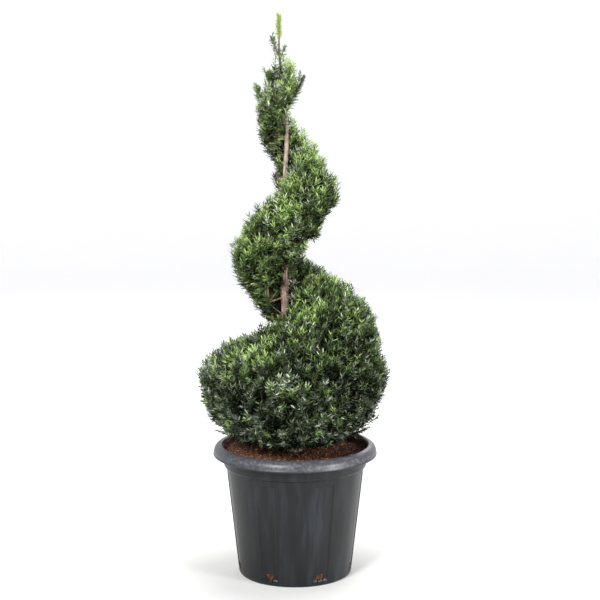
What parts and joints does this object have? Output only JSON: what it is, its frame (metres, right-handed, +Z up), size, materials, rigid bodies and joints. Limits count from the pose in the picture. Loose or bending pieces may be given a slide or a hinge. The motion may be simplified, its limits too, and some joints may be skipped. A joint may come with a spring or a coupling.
{
  "type": "potted spiral topiary conifer",
  "caption": "Upright yew clipped to a rising spiral round its own stem, standing in a round black plastic nursery pot.",
  "frame": {"origin": "centre of the pot's flat underside, on the surface it stands on", "axes": "+Z up along the plant, -Y the front, +X to the right seen from the front"},
  "size_m": [0.4626, 0.4547, 1.356],
  "materials": {
    "pot_plastic": "moulded polypropylene, scuffed satin, dusty rim",
    "compost": "loose damp peat and bark crumb",
    "bark": "thin flaking bark, grey to reddish brown",
    "needles": "satin flat needles, dark to fresh green",
    "young_needles": "soft new needles, yellow green"
  },
  "bodies": {
    "root": {"pot": "pot_plastic", "soil": "compost", "stem": "bark", "bough_1": "bark", "bough_2": "bark", "bough_3": "bark", "bough_4": "bark", "bough_5": "bark", "base_mass_1": "needles", "base_mass_2": "needles", "base_mass_3": "needles", "base_mass_4": "needles", "base_mass_5": "needles", "base_mass_6": "needles", "coil_mass_1": "needles", "coil_mass_2": "needles", "coil_mass_3": "needles", "coil_mass_4": "needles", "coil_mass_5": "needles", "coil_mass_6": "needles", "coil_mass_7": "needles", "coil_mass_8": "needles", "coil_mass_9": "needles", "coil_mass_10": "needles", "coil_mass_11": "needles", "side_shoot_1": "young_needles", "side_shoot_2": "young_needles", "leader_tuft_left": "young_needles", "leader_tuft_right": "young_needles"}
  },
  "joints": []
}
